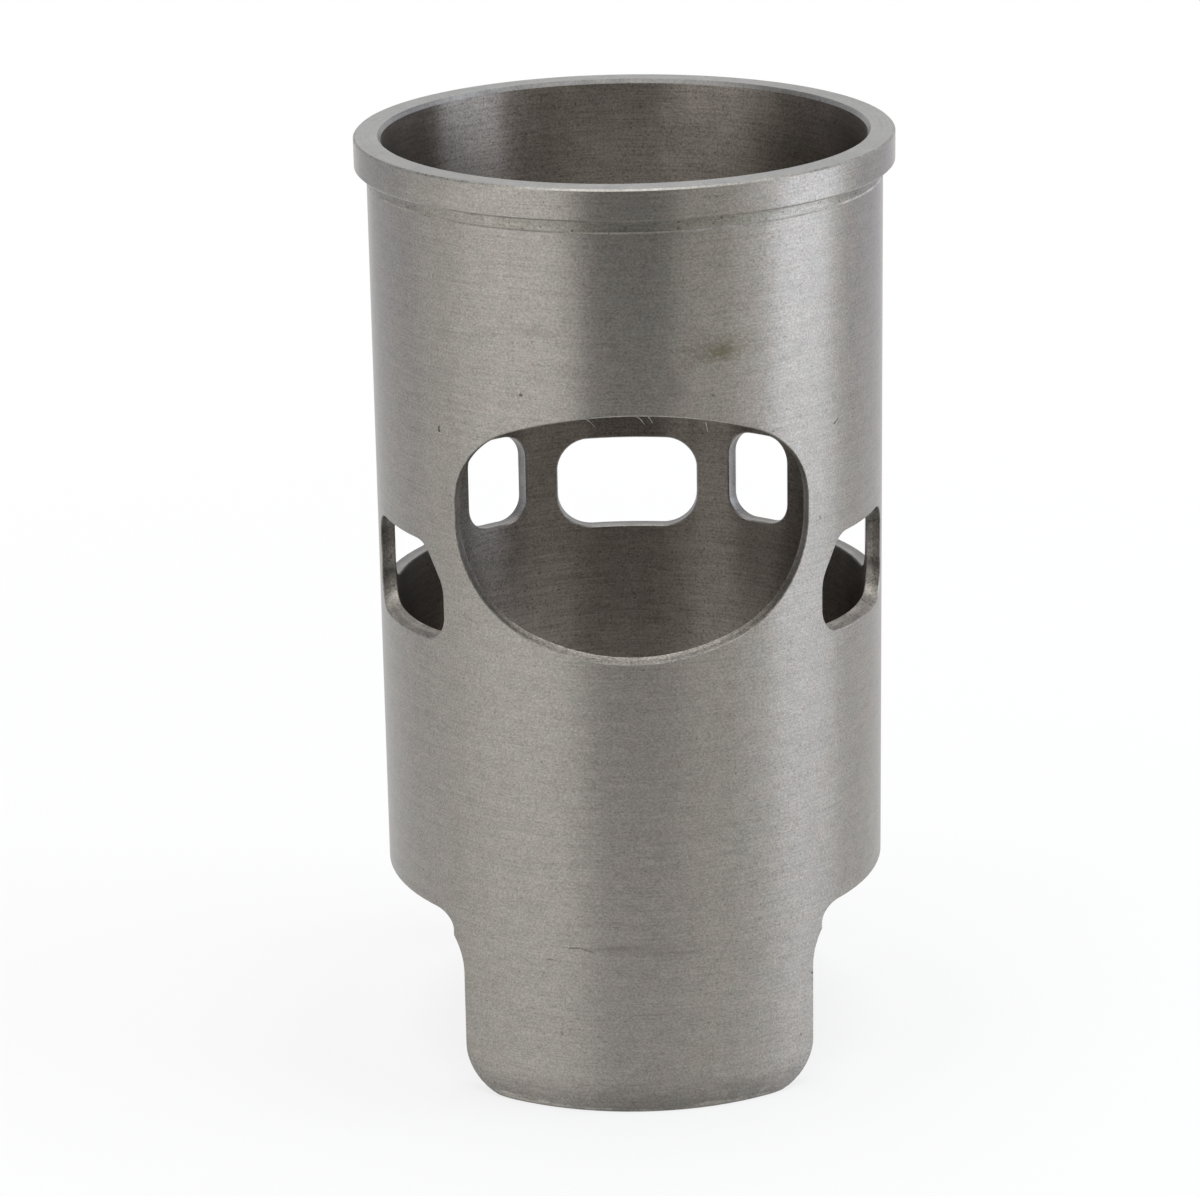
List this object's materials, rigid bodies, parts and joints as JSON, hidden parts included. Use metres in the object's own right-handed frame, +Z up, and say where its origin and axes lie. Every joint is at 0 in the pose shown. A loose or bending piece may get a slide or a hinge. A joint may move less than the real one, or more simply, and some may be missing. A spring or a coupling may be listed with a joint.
{
  "type": "cylinder liner",
  "caption": "Flanged cast-iron sleeve for a two-stroke cylinder, with a wide exhaust port, transfer and boost windows, and a skirt cut away at both sides.",
  "frame": {"origin": "on the bore axis, in the plane of the skirt's foot", "axes": "+Z up the bore towards the flanged deck end, -Y through the middle of the exhaust port, +X to the right when facing that port"},
  "size_m": [0.089, 0.089, 0.1574],
  "materials": {
    "iron": "fine turned, satin"
  },
  "bodies": {
    "root": {"cylinder_liner": "iron"}
  },
  "joints": []
}
